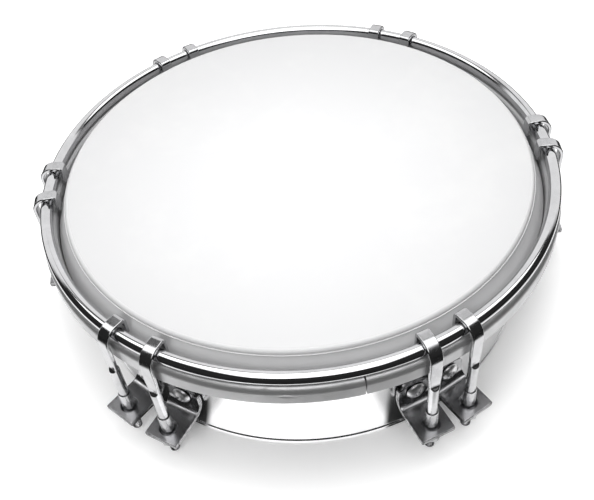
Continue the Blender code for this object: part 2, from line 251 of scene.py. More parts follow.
# %% Sky: a ceiling panel, a dark room and a sheet behind
world = bpy.data.worlds.new("studio")
world.use_nodes = True
bpy.context.scene.world = world
sky = world.node_tree
sky.nodes.clear()
direction = node(sky, "ShaderNodeTexCoord").outputs["Generated"]
parts = node(sky, "ShaderNodeSeparateXYZ", {0: direction}).outputs
above = calculate(sky, "MAXIMUM", parts["Z"], LOWEST_UP)
over_x = calculate(sky, "DIVIDE", parts["X"], above)
over_y = calculate(sky, "DIVIDE", parts["Y"], above)
widening = between(sky, over_y, PANEL_WIDENS_OVER, 0.0, PANEL_WIDENS)
from_side = calculate(sky, "SUBTRACT", calculate(sky, "ABSOLUTE", over_x), widening)
beside = between(sky, from_side, PANEL_SIDE, 1.0, 0.0)
before = between(sky, over_y, PANEL_FRONT)
behind = between(sky, over_y, PANEL_BACK, 1.0, 0.0)
panel = product(sky, beside, before, behind)
towards_dark = node(sky, "ShaderNodeVectorMath", {0: direction, 1: DARK_DIRECTION},
                    operation="DOT_PRODUCT").outputs["Value"]
backwards = between(sky, parts["Y"], SHEET_FROM, 0.0, SHEET_LIGHT)
undarkened = between(sky, towards_dark, DARK_SPREAD, 1.0, DARK_LEAVES)
sheet = product(sky, backwards, between(sky, over_y, SHEET_TOP), undarkened)
seen = calculate(sky, "MAXIMUM", calculate(sky, "MAXIMUM", panel, sheet), ROOM_LIGHT)
ray = node(sky, "ShaderNodeLightPath").outputs
strength = between(sky, ray["Is Glossy Ray"], (0.0, 1.0), SKY_LIGHT, SKY_SHEEN)
reflected = node(sky, "ShaderNodeBackground", {"Color": seen, "Strength": strength})
backdrop = node(sky, "ShaderNodeBackground", {"Strength": 1.0})
either = node(sky, "ShaderNodeMixShader", {
    0: ray["Is Camera Ray"], 1: reflected.outputs[0], 2: backdrop.outputs[0]})
node(sky, "ShaderNodeOutputWorld", {"Surface": either.outputs[0]})
print("sky:", len(sky.nodes), "nodes")

# %% [markdown]
# ## Floor
# The floor is one square of white paper. The metal, though, mirrors more than that, and it is painted
# into the floor: painted darkness where a table would end two or three centimetres before the shell, a
# painted glow in a band through the middle, and painted shade at both its sides. A model of the table
# would put these into the picture too, so a Light Path node gives them to mirrored rays only. Away from
# the drum the paper also has a painted glow, an emission that grows with the distance from the drum.

# %% Floor
FLOOR_HALF = 3.0
PAPER, UNLIT_PAPER = 0.95, 0.02
PAINTED_DARK_EDGE = (-97.0 * MM, -110.0 * MM)
PAINTED_DARK_REACH = (135.0 * MM, 185.0 * MM)
PAINTED_MIDDLE = -8.5 * MM
PAINTED_CARD_HALF = (33.0 * MM, 29.5 * MM)
PAINTED_CARD_GLOW = 0.75
SHADE_FROM, SHADE_TO = (35.0 * MM, 37.0 * MM), (58.0 * MM, 50.0 * MM)
SHADE_REACH = (98.0 * MM, 84.0 * MM)
SHADE_DEPTH = 0.97
SHADE_SPREADS, SPREADS_WITHIN = 0.8, 86.0 * MM
FAR_GLOW = 0.42
FAR_FROM = (70.0 * MM, 97.0 * MM)
floor_mesh = bpy.data.meshes.new("floor")
floor_corners = FLOOR_HALF * np.array([(-1, -1, 0), (1, -1, 0), (1, 1, 0), (-1, 1, 0)], float)
floor_mesh.from_pydata(floor_corners, [], [(0, 1, 2, 3)])
floor = in_scene("floor", floor_mesh)
floor_material, tree, paper = new_material("floor_paper")
floor_mesh.materials.append(floor_material)
print(f"floor: {2 * FLOOR_HALF:.0f} m wide")

# %% What the floor shows to the camera and to the metal
place = node(tree, "ShaderNodeTexCoord").outputs["Object"]
place_parts = node(tree, "ShaderNodeSeparateXYZ", {0: place}).outputs
mirrored = node(tree, "ShaderNodeLightPath").outputs["Is Glossy Ray"]
from_drum = node(tree, "ShaderNodeVectorMath", {0: place}, operation="LENGTH").outputs["Value"]
sideways = calculate(tree, "ABSOLUTE", calculate(tree, "SUBTRACT", place_parts["X"], PAINTED_MIDDLE))
nearer = calculate(tree, "SUBTRACT", SPREADS_WITHIN, from_drum)
spread = calculate(tree, "MULTIPLY_ADD", nearer, SHADE_SPREADS, sideways)
# Mirrored rays only: painted shade near the drum on both sides of the middle, and painted darkness in front
# of the drum and far from it.
shade = product(tree, between(tree, spread, SHADE_FROM), between(tree, sideways, SHADE_TO),
                between(tree, from_drum, SHADE_REACH, 0.0, SHADE_DEPTH))
painted_dark_past_edge = calculate(tree, "MAXIMUM", between(tree, place_parts["Y"], PAINTED_DARK_EDGE),
                      between(tree, from_drum, PAINTED_DARK_REACH))
darker = product(tree, calculate(tree, "MAXIMUM", painted_dark_past_edge, shade), mirrored)
# A painted glow for mirrored rays only, in a band through the middle.
painted_card_glow = product(tree, between(tree, sideways, PAINTED_CARD_HALF, 0.0, PAINTED_CARD_GLOW), mirrored)
# A painted glow for every ray: the paper's emission grows from nothing near the drum to full strength further
# out.
far = between(tree, from_drum, FAR_FROM, 0.0, FAR_GLOW)
lit = calculate(tree, "SUBTRACT", 1.0, darker)
glow = product(tree, calculate(tree, "ADD", painted_card_glow, far), lit)
wire(tree, paper, {
    "Roughness": 0.9, "Specular IOR Level": 0.0, "Base Color": ramp(tree, darker, PAPER, UNLIT_PAPER),
    "Emission Color": (1.0, 1.0, 1.0, 1.0), "Emission Strength": glow})
print("floor shading:", len(tree.nodes), "nodes")

# %% [markdown]
# ## Lights
# The head, the floor and the satin metal also need light that falls on them from lamps: a small one
# close over the head, one high above, and a broad one in front. Sun lamps would be simpler, but a lamp
# with the shape of a disc has a size, which makes the edges of its shadows soft. No lamp shows in the
# metal, because the sky already holds what the metal mirrors.

# %% Lights
LIGHTS = {
    # name: (place, width, watts)
    "head_softbox": ((0.0, -0.010, 0.160), 0.08, 0.075),
    "ceiling_softbox": ((0.05, 0.05, 0.60), 0.30, 0.60),
    "front_softbox": ((-0.45, -0.75, 0.65), 0.5, 2.9),
}
for name, (place, width, watts) in LIGHTS.items():
    lamp = bpy.data.lights.new(name, "AREA")
    lamp.shape = "DISK"
    lamp.size = width
    lamp.energy = watts
    light = in_scene(name, lamp)
    aim(light, Vector(place), Vector())
    light.visible_glossy = False
bpy.context.scene.view_settings.view_transform = "Standard"
print("lights:", ", ".join(LIGHTS))

# %% [markdown]
# ## Grids of points
# Every piece here is a surface worked out with numpy. A patch is a grid of points, a function of two
# parameters, with flat coordinates in metres along the surface and a value that says how much an edge
# wears there. A piece is several patches sewn where their points meet. Primitives and modifiers would
# give a ring or a bolt as well, but a formula shows where each surface comes from.

# %% Patches
def patch(points, u, v, worn=0.0, keep=None):
    """A grid of points with flat coordinates u and v. Cells where keep is False are left out."""
    shape = points.shape[:2]
    number = np.arange(shape[0] * shape[1]).reshape(shape)
    cells = np.stack([number[:-1, :-1], number[1:, :-1], number[1:, 1:], number[:-1, 1:]], axis=-1)
    return {
        "points": points.reshape(-1, 3),
        "flat": np.stack([np.broadcast_to(u, shape), np.broadcast_to(v, shape)], axis=-1).reshape(-1, 2),
        "worn": np.broadcast_to(worn, shape).ravel(),
        "cells": cells.reshape(-1, 4) if keep is None else cells[keep],
    }


print("helper: patch")

# %% Patches sewn into a mesh
SEW_WITHIN = 0.002 * MM
SHARP_FROM = 38.0


def sewn_mesh(name, patches):
    """One mesh of several patches, sewn where their points meet, with its faces turned outwards.

    An outline that is left open, such as the cut end of a bent channel, gets one flat face.
    """
    starts = np.cumsum([0] + [len(part["points"]) for part in patches])
    points = np.concatenate([part["points"] for part in patches])
    cells = np.concatenate([part["cells"] + start for part, start in zip(patches, starts)])
    flat = np.concatenate([part["flat"] for part in patches])
    worn = np.concatenate([part["worn"] for part in patches])
    mesh = bpy.data.meshes.new(name)
    mesh.from_pydata(points, [], cells)
    mesh.uv_layers.new(name="flat").data.foreach_set("uv", flat[cells.ravel()].astype(np.float32).ravel())
    mesh.attributes.new("worn", "FLOAT", "POINT").data.foreach_set("value", worn.astype(np.float32))
    bm = bmesh.new()
    bm.from_mesh(mesh)
    bmesh.ops.remove_doubles(bm, verts=bm.verts, dist=SEW_WITHIN)
    bmesh.ops.holes_fill(bm, edges=[edge for edge in bm.edges if edge.is_boundary])
    bmesh.ops.recalc_face_normals(bm, faces=bm.faces)
    bm.to_mesh(mesh)
    bm.free()
    mesh.shade_smooth()
    mesh.set_sharp_from_angle(angle=np.radians(SHARP_FROM))
    return mesh


def open_edges(mesh):
    """How many edges don't lie between exactly two faces: none, on a closed surface."""
    used = np.zeros(len(mesh.loops), np.int32)
    mesh.loops.foreach_get("edge_index", used)
    return int(np.count_nonzero(np.bincount(used, minlength=len(mesh.edges)) != 2))


print(f"points within {1000 * SEW_WITHIN:.3f} mm are sewn, edges over {SHARP_FROM:.0f} degrees are sharp")

# %% Pieces that stand for construction nodes
def add_piece(name, patches, material, node_name):
    """A finished piece at the origin that rides where its construction node rides."""
    mesh = sewn_mesh(name, patches)
    mesh.materials.append(material)
    piece = in_scene(name, mesh)
    body = frame["nodes"][node_name].parent.name.removeprefix("body:")
    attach(piece, body)
    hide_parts(node_name)
    print(f"{name}: {len(mesh.polygons)} faces, {open_edges(mesh)} open edges")


def add_twelve(name, skins, material, node_name):
    """A piece for each tensioner. Skins works out the patches of one from its azimuth."""
    for place, azimuth in AZIMUTHS.items():
        add_piece(f"{name}_{place}", skins(azimuth), material, f"{node_name}_{place}")


print("helpers: add_piece, add_twelve")

# %% [markdown]
# ## Outlines and turning
# Rings, nuts and rivets are turned shapes: an outline of radius and height, carried round an axis. An
# outline is written as its few corners with a rounding each, and the points on the roundings are
# worked out. A row just beside each rounding keeps the flats flat, because a smooth shaded face
# borrows its shading from its neighbours.

# %% Outlines
BESIDE = 0.05 * MM
FINER_FROM = 0.5 * MM
WORN_BELOW, SOFT_WEAR = 1.0 * MM, 0.3


def rounded(corners, steps=4, closed=True):
    """An outline through (radius, height, rounding) corners, as rows of radius, height and wear.

    At a corner with rounding q, where the two sides meet at an angle 2g, the arc's centre lies
    q / sin g down the bisector and the arc touches each side q / tan g from the corner.
    """
    corners = np.array(corners, float)
    rows = []
    for index, (radius, height, rounding) in enumerate(corners):
        here = np.array((radius, height))
        if not closed and index in (0, len(corners) - 1):
            rows.append([(radius, height, 0.0)])
            continue
        back = corners[index - 1, :2] - here
        ahead = corners[(index + 1) % len(corners), :2] - here
        back /= np.linalg.norm(back)
        ahead /= np.linalg.norm(ahead)
        half = np.arccos(np.clip(back @ ahead, -1.0, 1.0)) / 2
        reach = rounding / np.tan(half)
        centre = here + (back + ahead) / np.linalg.norm(back + ahead) * rounding / np.sin(half)
        start, end = here + back * reach, here + ahead * reach
        sweep = np.pi - 2 * half
        count = steps if rounding < FINER_FROM else 2 * steps
        share = np.linspace(0.0, 1.0, count + 1)[:, None]
        arc = (np.sin((1 - share) * sweep) * (start - centre) + np.sin(share * sweep) * (end - centre))
        arc = centre + arc / np.sin(sweep)
        worn = np.full((count + 1, 1), 1.0 if rounding < WORN_BELOW else SOFT_WEAR)
        rows.append([(*(start + back * BESIDE), 0.0)])
        rows.append(np.hstack([arc, worn]))
        rows.append([(*(end + ahead * BESIDE), 0.0)])
    outline = np.concatenate(rows)
    return np.concatenate([outline, outline[:1]]) if closed else outline


print(f"roundings of {1000 * FINER_FROM:.1f} mm and more get twice the steps")

# %% More rows on an outline, and its length
def filled(outline, longest):
    """The same outline with more rows wherever two rows lie further apart than the longest step."""
    gaps = np.linalg.norm(np.diff(outline[:, :2], axis=0), axis=1)
    parts = np.maximum(1, np.ceil(gaps / longest).astype(int))
    at = np.concatenate([index + np.arange(count) / count for index, count in enumerate(parts)])
    at = np.append(at, len(gaps))
    return np.stack([np.interp(at, np.arange(len(outline)), column) for column in outline.T], axis=1)


def length_along(outline):
    """Distance along an outline, from its start to each of its rows."""
    return np.append(0.0, np.cumsum(np.linalg.norm(np.diff(outline[:, :2], axis=0), axis=1)))


print("helpers: filled, length_along")

# %% Turning
def around(out, across, up, azimuth):
    """Points measured outwards, across and up from the drum's axis, turned to an azimuth.

    x = out sin a + across cos a, y = -out cos a + across sin a, z = up.
    """
    sine, cosine = np.sin(azimuth), np.cos(azimuth)
    x = out * sine + across * cosine
    y = -out * cosine + across * sine
    return np.stack(np.broadcast_arrays(x, y, up), axis=-1)


def turned(outline, azimuths, proud=0.0):
    """An outline carried round the drum's axis, moved outwards by the grid of values in proud."""
    points = around(outline[:, 0] + proud, 0.0, outline[:, 1], azimuths[:, None])
    return patch(points, azimuths[:, None] * outline[:, 0].max(), length_along(outline), outline[:, 2])


FULL_TURN = np.linspace(0.0, 2 * np.pi, 481)
print("a turn has", len(FULL_TURN) - 1, "steps")

# %% [markdown]
# ## Surface effects
# Real metal and film differ from a plain shader in small ways, and several materials share them:
# hairlines from rolling and polishing, smudges from hands, and edges where the finish is rubbed. Each
# is a node group, built once. A group gives out only masks and heights, and the shader itself stays
# in the material.

# %% A group with named sockets
def new_group(name, output, inputs):
    """An empty shader group with one output. Inputs are (socket kind, name, value)."""
    group = bpy.data.node_groups.new(name, "ShaderNodeTree")
    for kind, label, value in inputs:
        socket = group.interface.new_socket(label, in_out="INPUT", socket_type=kind)
        if value is not None:
            socket.default_value = value
    group.interface.new_socket(output, in_out="OUTPUT", socket_type="NodeSocketFloat")
    return group, group.nodes.new("NodeGroupInput").outputs, group.nodes.new("NodeGroupOutput")


def effect(tree, group, inputs):
    """What a group gives out in a material, with the material's own values."""
    return node(tree, "ShaderNodeGroup", inputs, node_tree=group).outputs[0]


print("helpers: new_group, effect")

# %% Hairlines
HAIRLINES, given, result = new_group("hairlines", "Height", [
    ("NodeSocketVector", "Vector", None),
    ("NodeSocketVector", "Scale", (20.0, 4000.0, 1.0)),
])
stretched = node(HAIRLINES, "ShaderNodeVectorMath", {0: given["Vector"], 1: given["Scale"]},
                 operation="MULTIPLY").outputs[0]
wire(HAIRLINES, result, {"Height": noise(HAIRLINES, stretched, 1.0, 3.0, 0.6)})
print("hairlines:", len(HAIRLINES.nodes), "nodes")

# %% Smudges
FINE_SCALE, FINE_SHARE = 7.0, 0.35
CLEAN_FROM, SMUDGE_FADE = 0.95, 0.35
SMUDGES, given, result = new_group("smudges", "Mask", [
    ("NodeSocketVector", "Vector", None),
    ("NodeSocketFloat", "Scale", 60.0),
    ("NodeSocketFloat", "Cover", 0.5),
])
broad = noise(SMUDGES, given["Vector"], given["Scale"], 4.0, 0.55, 0.6)
fine = noise(SMUDGES, given["Vector"], product(SMUDGES, given["Scale"], FINE_SCALE), 2.0)
both = calculate(SMUDGES, "MULTIPLY_ADD", fine, FINE_SHARE, broad)
low_end = calculate(SMUDGES, "SUBTRACT", CLEAN_FROM, given["Cover"])
high_end = calculate(SMUDGES, "ADD", low_end, SMUDGE_FADE)
wire(SMUDGES, result, {"Mask": between(SMUDGES, both, (low_end, high_end))})
print("smudges:", len(SMUDGES.nodes), "nodes")

# %% Edge wear
WEAR_PATCHES = (0.42, 0.62)
EDGE_WEAR, given, result = new_group("edge_wear", "Mask", [
    ("NodeSocketFloat", "Worn", 0.0),
    ("NodeSocketVector", "Vector", None),
    ("NodeSocketFloat", "Scale", 900.0),
])
patchy = between(EDGE_WEAR, noise(EDGE_WEAR, given["Vector"], given["Scale"], 5.0, 0.7), WEAR_PATCHES)
wire(EDGE_WEAR, result, {"Mask": product(EDGE_WEAR, given["Worn"], patchy)})
print("edge wear:", len(EDGE_WEAR.nodes), "nodes")

# %% [markdown]
# ## Metals
# All the metal here is bright: chrome plate on the rod and the fittings, and bare aluminium on the
# shell, the flesh hoop and the rivets. One recipe makes them all. Its numbers say how mirror like the
# metal is, how strongly its hairlines show, and how it is smudged. The hairlines follow the flat
# coordinates, so they run round a ring as a polishing wheel leaves them.

# %% Metal recipe
LINES_IN_ROUGHNESS, LINES_IN_BUMP = 0.3, 0.35


def metal(name, colour, roughness, smudged, grain, grain_depth, dull=0.86, cut=0.86, bare=1.0):
    """Polished metal. Colour is the clean metal, dull and cut are how dark smudges and edges get.
    On most metal cut is wear; on the brackets it is so dark that it is mostly painted shade.

    Roughness runs from its first number, clean, to its second, smudged. Smudged is the scale and the
    cover of the smudges, and grain is the scale of the hairlines along, across and off the surface.
    Bare is how much of the surface is clean metal rather than dull oxide, which scatters the light.
    """
    material, tree, shader = new_material(name)
    place = node(tree, "ShaderNodeTexCoord").outputs["Object"]
    flat = node(tree, "ShaderNodeUVMap", uv_map="flat").outputs["UV"]
    worn = node(tree, "ShaderNodeAttribute", attribute_name="worn").outputs["Fac"]
    lines = effect(tree, HAIRLINES, {"Vector": flat, "Scale": grain})
    smudge = effect(tree, SMUDGES, {"Vector": place, "Scale": smudged[0], "Cover": smudged[1]})
    edge = effect(tree, EDGE_WEAR, {"Vector": place, "Worn": worn})
    face = ramp(tree, smudge, colour, tuple(dull * channel for channel in colour))
    tinted = node(tree, "ShaderNodeMix", {"Factor": 1.0, 6: face, 7: ramp(tree, edge, 1.0, cut)},
                  data_type="RGBA", blend_type="MULTIPLY").outputs[2]
    either = calculate(tree, "MAXIMUM", smudge, edge)
    streaked = calculate(tree, "MULTIPLY_ADD", lines, LINES_IN_ROUGHNESS, either)
    bump = node(tree, "ShaderNodeBump", {
        "Height": lines, "Strength": LINES_IN_BUMP, "Distance": grain_depth}).outputs["Normal"]
    wire(tree, shader, {
        "Metallic": bare, "Base Color": tinted, "Normal": bump,
        "Roughness": between(tree, streaked, (0.0, 1.0), *roughness)})
    print(f"{name}: {len(tree.nodes)} nodes")
    return material


print("helper: metal")

# %% Metals
# The rod's chrome is lighter and the brackets' chrome darker than the other chrome: painted light on the rod,
# painted shade on the brackets.
CHROME = (0.57, 0.57, 0.58)
ROD_CHROME_PAINTED_LIGHTER = (0.68, 0.68, 0.69)
BRACKET_CHROME_PAINTED_DARKER = (0.50, 0.50, 0.51)
ALUMINIUM = (0.80, 0.80, 0.805)
DRAWN_ALUMINIUM = (0.60, 0.60, 0.605)
rod_chrome = metal("rod_chrome", ROD_CHROME_PAINTED_LIGHTER, (0.04, 0.12), (45.0, 0.45), (25.0, 2500.0, 1.0), 0.002 * MM)
strap_chrome = metal("strap_chrome", CHROME, (0.06, 0.20), (110.0, 0.5), (150.0, 3000.0, 1.0), 0.004 * MM)
# The brackets' worn edges are made very dark: partly wear, mostly painted shade on their rims.
bracket_chrome = metal("bracket_chrome", BRACKET_CHROME_PAINTED_DARKER, (0.07, 0.24), (90.0, 0.55), (900.0, 900.0, 1.0),
                       0.006 * MM, dull=0.7, cut=0.2)
nut_chrome = metal("nut_chrome", CHROME, (0.08, 0.25), (120.0, 0.5), (300.0, 5000.0, 1.0), 0.004 * MM)
shell_metal = metal("shell_metal", ALUMINIUM, (0.09, 0.18), (25.0, 0.45), (6.0, 3500.0, 1.0), 0.004 * MM)
hoop_metal = metal("hoop_metal", DRAWN_ALUMINIUM, (0.34, 0.44), (35.0, 0.5), (14.0, 5000.0, 1.0), 0.006 * MM,
                   cut=1.0, bare=0.78)
rivet_metal = metal("rivet_metal", ALUMINIUM, (0.22, 0.4), (150.0, 0.5), (400.0, 6000.0, 1.0), 0.006 * MM)

# %% [markdown]
# ## Shell
# The shell is a strip of aluminium sheet, rolled into a ring, with a bead on its lower rim and a
# rounded bearing edge on top, and it is drilled twelve times for the rivets. A Boolean could drill it,
# but that leaves long thin faces that a polished wall shows. Here the wall is a sheet in a plane,
# with arc length and height as its coordinates. The block of cells round each hole is left out and
# filled with rings that run from the circle to the block's edge, and then the sheet is wrapped round.

# %% Edge of a block of cells
def block_edge(first_column, last_column, first_row, last_row):
    """Grid numbers round the edge of a block of cells, ending where they start."""
    right = np.arange(first_column, last_column)
    down = np.arange(first_row, last_row)
    columns = [right, np.full(len(down), last_column), right[::-1] + 1, np.full(len(down), first_column)]
    rows = [np.full(len(right), first_row), down, np.full(len(right), last_row), down[::-1] + 1]
    return np.append(np.concatenate(columns), first_column), np.append(np.concatenate(rows), first_row)


print("a block of 2 by 3 cells has", len(block_edge(0, 2, 0, 3)[0]) - 1, "steps round its edge")

# %% Sheet with round holes
RING_SHARES = np.array([0.0, 0.06, 0.2, 0.5, 1.0])


def pierced(x, y, holes, thickness, surface, lip):
    """Both faces of a sheet whose plane grid is x, y, and the walls of its round holes.

    A hole is (x, y, radius, block of cells). Surface carries (x, y, depth) into space, and the
    lip is the rounding where a hole breaks through a face.
    """
    patches = []
    keep = np.ones((x.shape[0] - 1, x.shape[1] - 1), bool)
    for hole_x, hole_y, radius, block in holes:
        keep[block[0]:block[1], block[2]:block[3]] = False
        edge_x, edge_y = (plane[block_edge(*block)] for plane in (x, y))
        angle = np.arctan2(edge_y - hole_y, edge_x - hole_x)
        circle_x = hole_x + (radius + lip) * np.cos(angle)
        circle_y = hole_y + (radius + lip) * np.sin(angle)
        share = RING_SHARES[:, None]
        ring_x = circle_x + (edge_x - circle_x) * share
        ring_y = circle_y + (edge_y - circle_y) * share
        for depth in (0.0, thickness):
            patches.append(patch(surface(ring_x, ring_y, depth), ring_x, ring_y, (1 - share) ** 4))
        bend = np.radians(np.linspace(0.0, 90.0, 4))
        wall_radius = radius + lip * (1 - np.sin(bend))
        wall_radius = np.concatenate([wall_radius, wall_radius[::-1]])[:, None]
        depth = lip * (1 - np.cos(bend))
        depth = np.concatenate([depth, thickness - depth[::-1]])[:, None]
        wall_x, wall_y = hole_x + wall_radius * np.cos(angle), hole_y + wall_radius * np.sin(angle)
        patches.append(patch(surface(wall_x, wall_y, depth), radius * np.unwrap(angle), depth, 0.5))
    for depth in (0.0, thickness):
        patches.append(patch(surface(x, y, depth), x, y, 0.0, keep))
    return patches


print("a hole has", len(RING_SHARES), "rings on each face")

# %% The rolled wall
WALL_ENDS = (SHELL_HEIGHT - 1.1 * MM, 2.4 * MM)


def shell_ripple(azimuth, height):
    """How far the rolled wall strays from a true circle: slow waves, a few hundredths of a millimetre."""
    slow = np.sin(2 * azimuth + 0.7) + 0.6 * np.sin(5 * azimuth + 2.0 + 20.0 * height)
    return (0.03 * slow + 0.012 * np.sin(13 * azimuth + 90.0 * height)) * MM


def shell_surface(arc_length, height, depth):
    """A sheet wrapped round the drum: azimuth = arc length / radius, and depth goes inwards."""
    azimuth = arc_length / SHELL_RADIUS
    return around(SHELL_RADIUS - depth + shell_ripple(azimuth, height), 0.0, height, azimuth)


def shell_end(corners):
    """The turned stretch at one end of the wall, which follows the same ripple."""
    outline = rounded(corners, closed=False)
    return turned(outline, FULL_TURN, shell_ripple(FULL_TURN[:, None], outline[:, 1]))


print(f"the sheet runs from {1000 * WALL_ENDS[1]:.1f} to {1000 * WALL_ENDS[0]:.1f} mm up")

# %% Bearing edge and bead
BEAD_SLOPE = (1.75 * MM, 1.2 * MM)
inner_radius = SHELL_RADIUS - SHELL_WALL
bead_radius = SHELL_RADIUS + BEAD_PROUD
top_end = shell_end([
    (SHELL_RADIUS, WALL_ENDS[0], 0.0),
    (SHELL_RADIUS, SHELL_HEIGHT, 0.6 * MM),
    (inner_radius, SHELL_HEIGHT, 0.3 * MM),
    (inner_radius, WALL_ENDS[0], 0.0),
])
bottom_end = shell_end([
    (SHELL_RADIUS, WALL_ENDS[1], 0.0),
    (SHELL_RADIUS, BEAD_SLOPE[0], 0.45 * MM),
    (bead_radius, BEAD_SLOPE[1], 0.45 * MM),
    (bead_radius, 0.0, 0.4 * MM),
    (inner_radius, 0.0, 0.3 * MM),
    (inner_radius, WALL_ENDS[1], 0.0),
])
print("ends of the shell:", len(top_end["points"]), "and", len(bottom_end["points"]), "points")

# %% Shell
RIVET_HOLE_RADIUS = 1.95 * MM
RIVET_HOLE_LIP = 0.1 * MM
HOLE_BLOCK_HALF = 3.0 * MM
wall_rows = np.linspace(WALL_ENDS[0], WALL_ENDS[1], 37)
wall_x, wall_y = np.meshgrid(FULL_TURN * SHELL_RADIUS, wall_rows, indexing="ij")
rivet_holes = []
for azimuth in AZIMUTHS.values():
    middle = azimuth % (2 * np.pi) * SHELL_RADIUS
    block = np.array((-HOLE_BLOCK_HALF, HOLE_BLOCK_HALF))
    columns = np.searchsorted(wall_x[:, 0], middle + block)
    rows = np.searchsorted(-wall_rows, block - RIVET_LEVEL)
    rivet_holes.append((middle, RIVET_LEVEL, RIVET_HOLE_RADIUS, (*columns, *rows)))
wall = pierced(wall_x, wall_y, rivet_holes, SHELL_WALL, shell_surface, RIVET_HOLE_LIP)
add_piece("polished_shell", [top_end, bottom_end, *wall], shell_metal, "shell")

# %% [markdown]
# ## Head
# The head is one moulded film. It is flat on top, rolls over the bearing edge between two faint
# creases, and leans out and down into the flesh hoop, where pulling it tight leaves shallow pleats.
# A disc with a simulated drape is the other way, but a moulded head keeps its shape off the drum, so
# an outline with a second one a film's thickness inside it says the same thing.

# %% Film outline
COLLAR_TOP = (76.35 * MM, 47.05 * MM)
COLLAR_FOOT = (film_high.x, 40.3 * MM)
ROLL_RADIUS = 1.3 * MM
CREASE_DEPTH, CREASE_WIDTH = 0.05 * MM, 0.16 * MM
CREASE_ROWS = np.linspace(-0.32, 0.32, 9) * MM
TOP_STEP, COLLAR_STEP, CLOSEST_ROWS = 5.0 * MM, 0.55 * MM, 0.02 * MM
PLEAT_DEPTH = 0.035 * MM

film_outline = rounded([
    (0.0, FILM_TOP, 0.0),
    (COLLAR_TOP[0], FILM_TOP, ROLL_RADIUS),
    (*COLLAR_TOP, 0.3 * MM),
    (*COLLAR_FOOT, 0.4 * MM),
    (COLLAR_FOOT[0], film_low.z, 0.0),
], steps=5, closed=False)
film_outline[:, 2] = 0.0
flat_rows = filled(film_outline[:2], TOP_STEP)[:-1]
film_outline = np.concatenate([flat_rows, filled(film_outline[1:], COLLAR_STEP)])
along = length_along(film_outline)
CREASE_RADII = (COLLAR_TOP[0] - ROLL_RADIUS, COLLAR_TOP[0] - CLOSEST_ROWS)
crease_at = np.interp(CREASE_RADII, film_outline[:, 0], along)
rows_at = np.unique(np.concatenate([along, (crease_at[:, None] + CREASE_ROWS).ravel()]))
rows_at = rows_at[np.append(True, np.diff(rows_at) > CLOSEST_ROWS)]
film_outline = np.stack([np.interp(rows_at, along, column) for column in film_outline.T], axis=1)
along = length_along(film_outline)
crease_at = np.interp(CREASE_RADII, film_outline[:, 0], along)
heading = np.gradient(film_outline[:, :2], along, axis=0)
film_normal = np.stack([-heading[:, 1], heading[:, 0]], axis=1)
film_normal /= np.linalg.norm(film_normal, axis=1)[:, None]
print(f"film: {len(film_outline)} rows, {1000 * along[-1]:.1f} mm from the middle to its edge")

# %% Pleats and creases
def film_shift(azimuth):
    """How far the film stands off its outline: two creases, and pleats that grow down the collar."""
    crease = sum(np.exp(-((along - place) / CREASE_WIDTH) ** 2) for place in crease_at)
    down = np.clip((COLLAR_TOP[1] - film_outline[:, 1]) / (COLLAR_TOP[1] - COLLAR_FOOT[1]), 0.0, 1.0)
    pleats = np.sin(41 * azimuth + 1.0) * np.sin(9 * azimuth) + 0.6 * np.sin(67 * azimuth + 4.0)
    deep = np.sin(np.pi * down) * (film_outline[:, 1] < COLLAR_TOP[1])
    return pleats * deep * PLEAT_DEPTH - crease * CREASE_DEPTH


def film_face(inwards):
    """One face of the film: its outline, moved along its normal and carried round the axis."""
    off = film_shift(FULL_TURN[:, None]) - inwards
    radius = film_outline[:, 0] + off * film_normal[:, 0]
    radius[:, 0] = 0.0
    height = film_outline[:, 1] + off * film_normal[:, 1]
    points = around(radius, 0.0, height, FULL_TURN[:, None])
    return patch(points, FULL_TURN[:, None] * COLLAR_TOP[0], along)


outer_face = film_face(0.0)
inner_face = film_face(FILM_THICKNESS)
shape = (len(FULL_TURN), len(film_outline), 3)
edge_points = np.stack([face["points"].reshape(shape)[:, -1] for face in (outer_face, inner_face)], axis=1)
film_edge = patch(edge_points, FULL_TURN[:, None] * COLLAR_FOOT[0], np.array([0.0, FILM_THICKNESS]))
print("film:", len(outer_face["points"]), "points on each face")

# %% [markdown]
# ## Film
# The head's film is milky plastic with a satin face. It isn't pure white: the pigment lies a little
# unevenly, sticks and fingers leave faint scuffs, and the face has a very fine tooth. A frosted look
# could come from transmission, but this film is pigmented all through, so a soft diffuse colour with
# a broad highlight is closer.

# %% Film material
MILK, SMUDGED_MILK = (0.70, 0.70, 0.70), (0.67, 0.67, 0.675)
SATIN = (0.30, 0.48)
TOOTH_SCALE, TOOTH_DEPTH = 2500.0, 0.01 * MM
head_film, tree, shader = new_material("head_film")
place = node(tree, "ShaderNodeTexCoord").outputs["Object"]
mottle = effect(tree, SMUDGES, {"Vector": place, "Scale": 28.0, "Cover": 0.6})
scuffs = effect(tree, HAIRLINES, {"Vector": place, "Scale": (900.0, 60.0, 60.0)})
tooth = node(tree, "ShaderNodeBump", {
    "Height": noise(tree, place, TOOTH_SCALE, 2.0), "Strength": 0.15, "Distance": TOOTH_DEPTH})
wire(tree, shader, {
    "IOR": 1.5, "Specular IOR Level": 0.35, "Base Color": ramp(tree, mottle, MILK, SMUDGED_MILK),
    "Roughness": between(tree, scuffs, (0.0, 1.0), *SATIN), "Normal": tooth.outputs["Normal"]})
add_piece("moulded_head", [outer_face, inner_face, film_edge], head_film, "drumhead_film")

# %% [markdown]
# ## Flesh hoop
# The flesh hoop is drawn aluminium channel, bent into a ring whose ends only butt together, so a thin
# split shows in front, and it has small dents from use. It is a turned outline over a little less
# than a full turn. Its rim is drawn in at both ends, which rounds their edges, and a flat face closes
# each. The dents are smooth hollows, each a bell curve in both directions.

